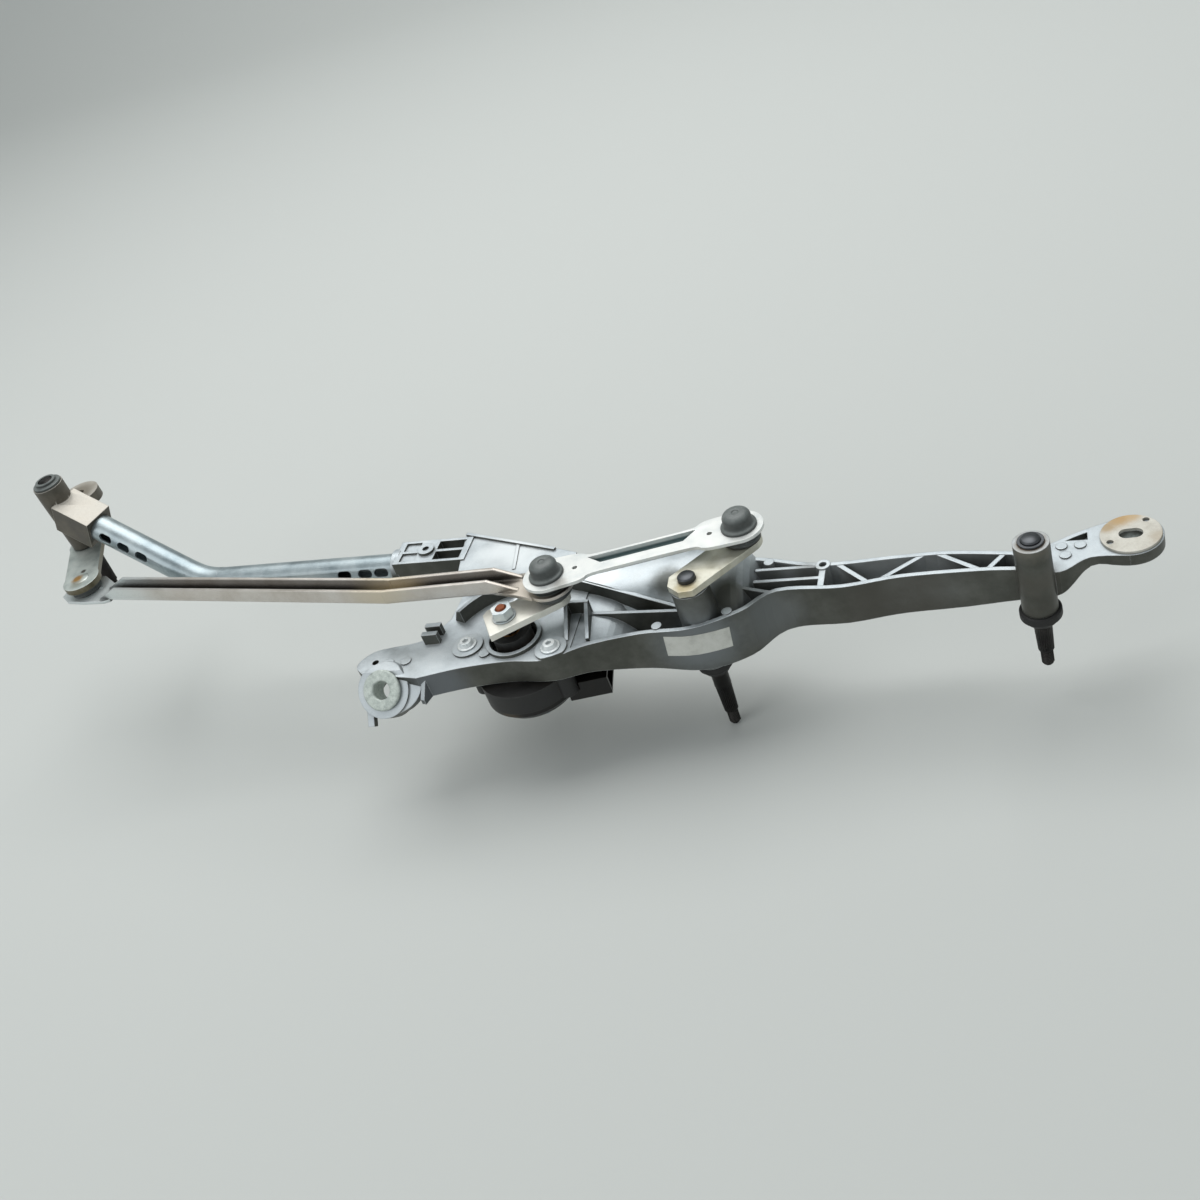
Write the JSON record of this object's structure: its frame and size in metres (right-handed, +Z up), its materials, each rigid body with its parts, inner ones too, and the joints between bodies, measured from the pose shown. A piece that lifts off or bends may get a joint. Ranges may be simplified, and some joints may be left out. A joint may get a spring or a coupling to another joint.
{
  "type": "wiper linkage",
  "caption": "Motor-driven windscreen wiper linkage: ribbed die-cast frame, crank, ball-jointed rods, levers and splined spindles, with a bent tube to the far bearing.",
  "frame": {"origin": "on the centre spindle's axis at the end of its arm splines, where the arm's nut thread starts", "axes": "+X along the frame to the right spindle, +Y to the side away from the front wall, +Z up along the spindles, away from the arm seats"},
  "size_m": [0.8595, 0.2201, 0.2112],
  "materials": {
    "cast_aluminium": "as-cast satin, dulled by use",
    "black_cast": "black coated casting",
    "zinc_steel": "bright zinc plating",
    "yellow_zinc": "faintly yellow zinc plating",
    "tinted_steel": "drawn steel with a tan oxide tint",
    "rusted_plate": "plated steel with rust stains",
    "dark_steel": "blackened turned steel",
    "motor_steel": "black painted deep-drawn steel",
    "black_plastic": "moulded glass-filled plastic",
    "seal_rubber": "black rubber",
    "bearing_bronze": "sintered bronze",
    "pin_brass": "tinned brass",
    "magnet": "ferrite",
    "gear_nylon": "natural moulded nylon",
    "armature_steel": "ground steel",
    "winding": "laminated core with lacquered copper windings"
  },
  "bodies": {
    "frame": {"frame_casting": "cast_aluminium", "eye_sleeve": "zinc_steel", "right_slot_plate": "rusted_plate", "carrier_tube": "zinc_steel", "left_housing": "cast_aluminium", "spindle_bushes": "bearing_bronze", "spindle_seals": "seal_rubber", "motor_screws": "zinc_steel", "gear_housing": "black_cast", "gear_cover": "black_plastic", "cover_screws": "zinc_steel", "connector_pins": "pin_brass", "motor_can": "motor_steel", "can_magnets": "magnet", "can_screws": "zinc_steel", "brush_plate": "black_plastic", "output_bush": "bearing_bronze"},
    "crank": {"output_shaft": "dark_steel", "worm_wheel": "gear_nylon", "crank_arm": "zinc_steel", "crank_washer": "zinc_steel", "crank_nut": "zinc_steel", "crank_stud": "dark_steel"},
    "armature": {"armature_shaft": "armature_steel", "armature_core": "winding", "commutator": "winding"},
    "short_link": {"short_rod": "zinc_steel", "crank_socket": "black_plastic", "crank_cap": "black_plastic", "centre_socket": "black_plastic", "centre_cap": "black_plastic"},
    "centre_drive": {"centre_spindle": "dark_steel", "centre_lever": "yellow_zinc", "centre_stud": "dark_steel", "centre_washer": "zinc_steel"},
    "left_drive": {"left_spindle": "dark_steel", "left_lever": "yellow_zinc", "left_stud": "dark_steel", "left_ring": "dark_steel"},
    "long_link": {"long_rod": "tinted_steel", "long_rod_bush": "black_plastic", "left_socket": "black_plastic", "left_cap": "black_plastic"},
    "right_pivot": {"right_spindle": "dark_steel", "right_ring": "dark_steel"}
  },
  "joints": [
    {"name": "crank_turn", "type": "hinge", "parent": "frame", "child": "crank", "pos_m": [-0.131, -0.0095, 0.1055], "axis": [0, 0, 1], "range_deg": [0, 60]},
    {"name": "armature_spin", "type": "hinge", "parent": "frame", "child": "armature", "pos_m": [-0.13638, 0.02103, 0.058], "axis": [0.9848, 0.1736, 0], "range_deg": [0, 2881]},
    {"name": "short_rod_swing", "type": "hinge", "parent": "crank", "child": "short_link", "pos_m": [-0.09774, 0.00782, 0.127], "axis": [0, 0, 1], "range_deg": [-64.25, 0]},
    {"name": "centre_spindle_turn", "type": "hinge", "parent": "frame", "child": "centre_drive", "pos_m": [0, 0, 0.08], "axis": [0, 0, 1], "range_deg": [0, 37.13]},
    {"name": "left_spindle_turn", "type": "hinge", "parent": "frame", "child": "left_drive", "pos_m": [-0.551, 0.12, 0.16], "axis": [0, 0, 1], "range_deg": [-33.23, 0]},
    {"name": "long_rod_swing", "type": "hinge", "parent": "left_drive", "child": "long_link", "pos_m": [-0.52579, 0.06832, 0.1195], "axis": [0, 0, 1], "range_deg": [0, 37.25]},
    {"name": "right_spindle_turn", "type": "hinge", "parent": "frame", "child": "right_pivot", "pos_m": [0.214, 0.004, 0.085], "axis": [0, 0, 1], "continuous": true}
  ],
  "couplings": [
    {"joint": "armature_spin", "follows": "crank_turn", "ratio": 48},
    {"joint": "short_rod_swing", "follows": "crank_turn", "ratio": -1.07},
    {"joint": "centre_spindle_turn", "follows": "crank_turn", "ratio": 0.618},
    {"joint": "left_spindle_turn", "follows": "crank_turn", "ratio": -0.553},
    {"joint": "long_rod_swing", "follows": "crank_turn", "ratio": 0.62}
  ]
}
